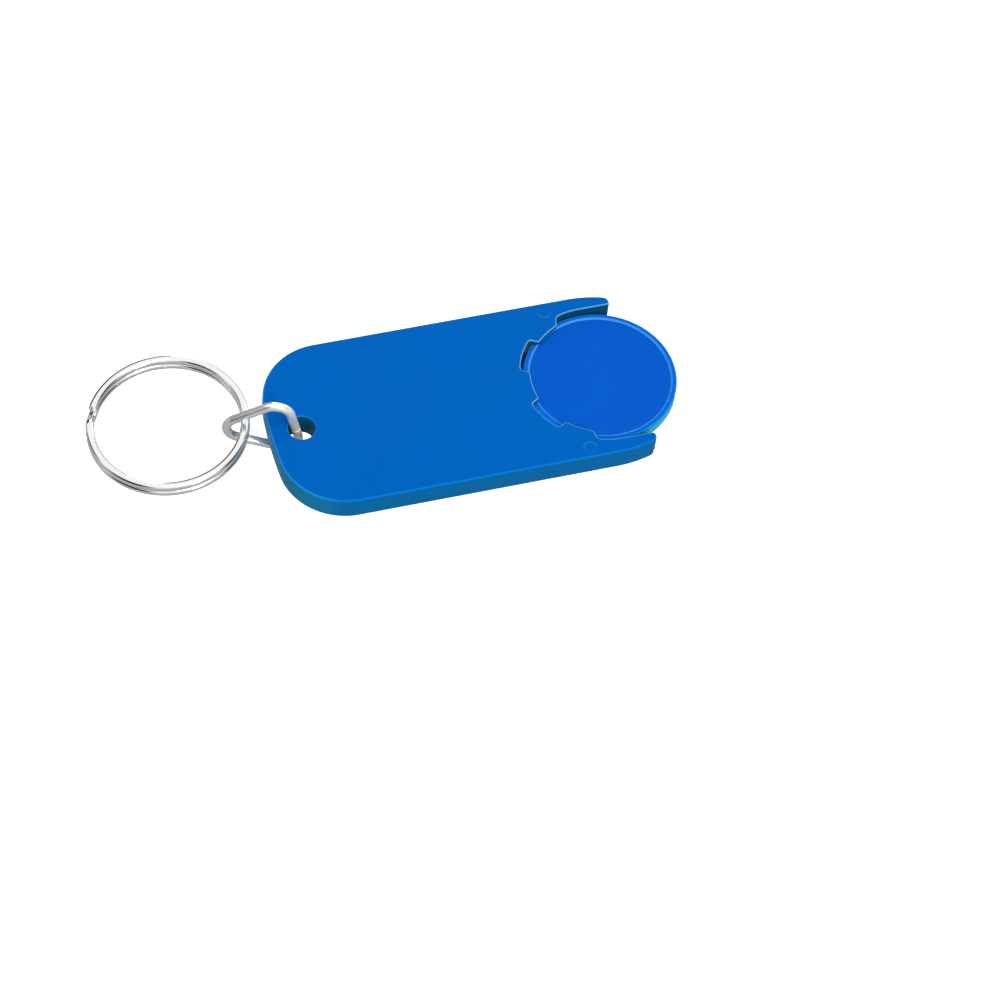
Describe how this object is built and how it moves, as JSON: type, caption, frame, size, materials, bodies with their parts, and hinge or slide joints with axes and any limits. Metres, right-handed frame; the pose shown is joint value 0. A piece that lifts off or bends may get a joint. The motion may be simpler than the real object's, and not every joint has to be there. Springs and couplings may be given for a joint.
{
  "type": "trolley token key ring",
  "caption": "Coin-size token clipped into a flat moulded holder, with a bent wire link and a two-turn split ring for keys.",
  "frame": {"origin": "centre of the holder's flat underside, half way along its length", "axes": "+X along the holder out of the token's mouth, so the keys hang towards -X; +Z square to the holder, out of its printed face; +Y across it"},
  "size_m": [0.0888, 0.0328, 0.0113],
  "materials": {
    "holder_plastic": "satin moulded polystyrene, mid blue",
    "token_plastic": "semi-gloss moulded plastic, royal blue",
    "link_wire": "nickel-plated steel wire, bright",
    "ring_wire": "nickel-plated spring steel, bright"
  },
  "bodies": {
    "holder": {"holder": "holder_plastic"},
    "token": {"token": "token_plastic"},
    "link": {"link": "link_wire"},
    "split_ring": {"split_ring": "ring_wire"}
  },
  "joints": [
    {"name": "token_slide", "type": "slide", "parent": "holder", "child": "token", "axis": [1, 0, 0], "range_m": [0, 0.026]},
    {"name": "link_swing", "type": "hinge", "parent": "holder", "child": "link", "pos_m": [-0.02325, 0, 0.0021], "axis": [0, 0, 1], "range_deg": [-10, 40]},
    {"name": "ring_swing", "type": "hinge", "parent": "link", "child": "split_ring", "pos_m": [-0.03103, 0.00304, 0.0031], "axis": [0.2672, 0.9636, 0], "range_deg": [-85, 100]}
  ]
}
